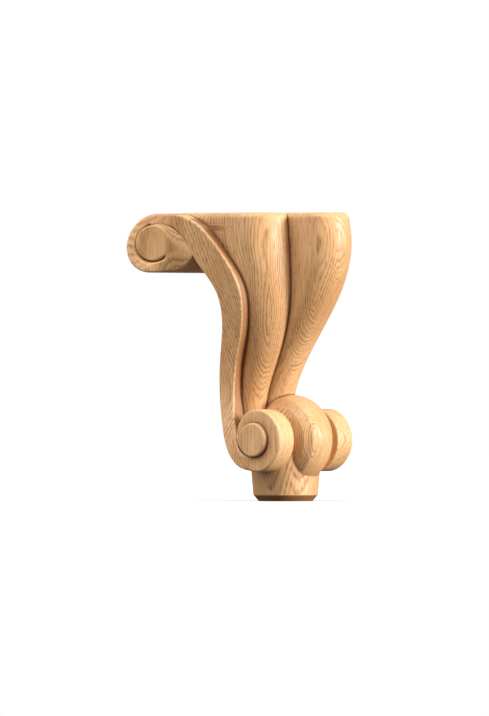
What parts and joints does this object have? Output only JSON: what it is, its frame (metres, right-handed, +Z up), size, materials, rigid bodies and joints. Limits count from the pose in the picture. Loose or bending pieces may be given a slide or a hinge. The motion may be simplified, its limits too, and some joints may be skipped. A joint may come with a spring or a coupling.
{
  "type": "carved wooden furniture leg",
  "caption": "Short carved oak furniture leg: three-lobed knee, scroll roll behind, wheel between two volutes above a round foot.",
  "frame": {"origin": "centre of the round foot on the floor", "axes": "+Z up to the flat top, +X towards the front lobe and wheel, +Y to the side; the leg is symmetric about the XZ plane"},
  "size_m": [0.1077, 0.1008, 0.15],
  "materials": {
    "oak": "satin light oak"
  },
  "bodies": {
    "root": {"leg": "oak"}
  },
  "joints": []
}
